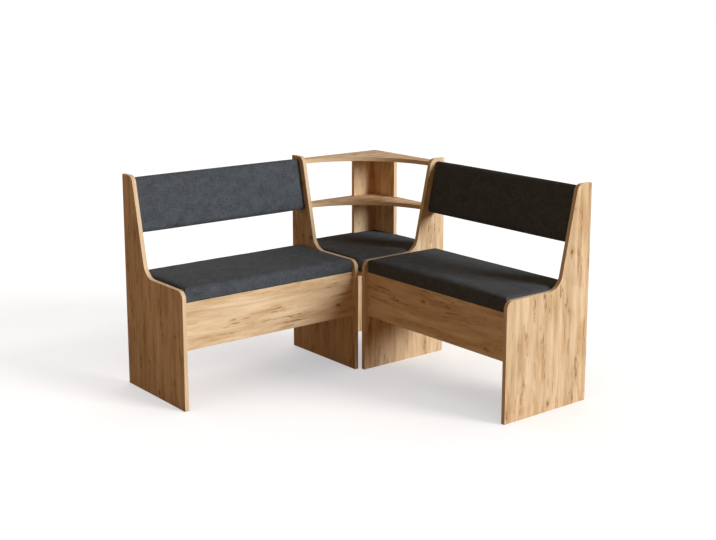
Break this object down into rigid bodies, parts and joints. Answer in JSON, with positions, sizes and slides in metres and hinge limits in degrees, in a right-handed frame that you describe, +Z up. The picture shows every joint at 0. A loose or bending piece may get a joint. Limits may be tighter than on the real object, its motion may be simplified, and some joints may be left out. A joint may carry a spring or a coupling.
{
  "type": "corner storage bench",
  "caption": "L-shaped corner bench: lift-up padded seats over storage boxes, leaning padded backrests, and a fixed corner seat under hollow-fronted shelves.",
  "frame": {"origin": "middle of the square footprint, at floor level", "axes": "+Z up; +X along the back wall towards the corner seat; +Y towards the back wall. The left bench stands along the back wall at y = 0.6, the right bench along the side wall at x = 0.6, and the corner seat is at +X +Y."},
  "size_m": [1.2, 1.2, 0.8],
  "materials": {
    "oak_board": "chipboard with a matt printed oak laminate: knots, dark cracks and straight grain",
    "edge_band": "thin plastic edge band in a lighter plain oak",
    "seat_fabric": "matt anthracite upholstery over foam",
    "raw_chipboard": "bare chipboard, hidden under the upholstery and seen from below or behind",
    "beech_dowel": "plain turned beech",
    "pine_cleat": "planed softwood",
    "hinge_steel": "bright zinc-plated sheet",
    "zinc_plated_screw": "zinc-plated",
    "cast_zinc": "dull die-cast zinc"
  },
  "bodies": {
    "bench": {"corner_bracket_screws": "zinc_plated_screw", "corner_brackets": "hinge_steel", "corner_cam_bolts": "zinc_plated_screw", "corner_cam_locks": "cast_zinc", "corner_cleat_screws": "zinc_plated_screw", "corner_cleats": "pine_cleat", "corner_dowels": "beech_dowel", "corner_left_post": "oak_board", "corner_middle_shelf": "oak_board", "corner_middle_shelf_band": "edge_band", "corner_post_bands": "edge_band", "corner_post_screws": "zinc_plated_screw", "corner_right_post": "oak_board", "corner_seat_board": "oak_board", "corner_seat_pad": "seat_fabric", "corner_top_shelf": "oak_board", "corner_top_shelf_band": "edge_band", "left_apron": "oak_board", "left_apron_band": "edge_band", "left_back_board": "raw_chipboard", "left_back_pad": "seat_fabric", "left_cam_bolts": "zinc_plated_screw", "left_cam_locks": "cast_zinc", "left_dowels": "beech_dowel", "left_hinge_frame_leaves": "hinge_steel", "left_hinge_frame_screws": "zinc_plated_screw", "left_hinge_pins": "hinge_steel", "left_inner_panel": "oak_board", "left_inner_panel_band": "edge_band", "left_outer_panel": "oak_board", "left_outer_panel_band": "edge_band", "left_rear_rail": "oak_board", "left_storage_floor": "oak_board", "right_apron": "oak_board", "right_apron_band": "edge_band", "right_back_board": "raw_chipboard", "right_back_pad": "seat_fabric", "right_cam_bolts": "zinc_plated_screw", "right_cam_locks": "cast_zinc", "right_dowels": "beech_dowel", "right_hinge_frame_leaves": "hinge_steel", "right_hinge_frame_screws": "zinc_plated_screw", "right_hinge_pins": "hinge_steel", "right_inner_panel": "oak_board", "right_inner_panel_band": "edge_band", "right_outer_panel": "oak_board", "right_outer_panel_band": "edge_band", "right_rear_rail": "oak_board", "right_storage_floor": "oak_board"},
    "left_lid": {"left_seat_board": "raw_chipboard", "left_seat_pad": "seat_fabric", "left_hinge_lid_leaves": "hinge_steel", "left_hinge_lid_screws": "zinc_plated_screw"},
    "right_lid": {"right_seat_board": "raw_chipboard", "right_seat_pad": "seat_fabric", "right_hinge_lid_leaves": "hinge_steel", "right_hinge_lid_screws": "zinc_plated_screw"}
  },
  "joints": [
    {"name": "left_lid_hinge", "type": "hinge", "parent": "bench", "child": "left_lid", "pos_m": [-0.21, 0.555, 0.3877], "axis": [-1, 0, 0], "range_deg": [0, 60]},
    {"name": "right_lid_hinge", "type": "hinge", "parent": "bench", "child": "right_lid", "pos_m": [0.555, -0.21, 0.3877], "axis": [0, 1, 0], "range_deg": [0, 60]}
  ]
}
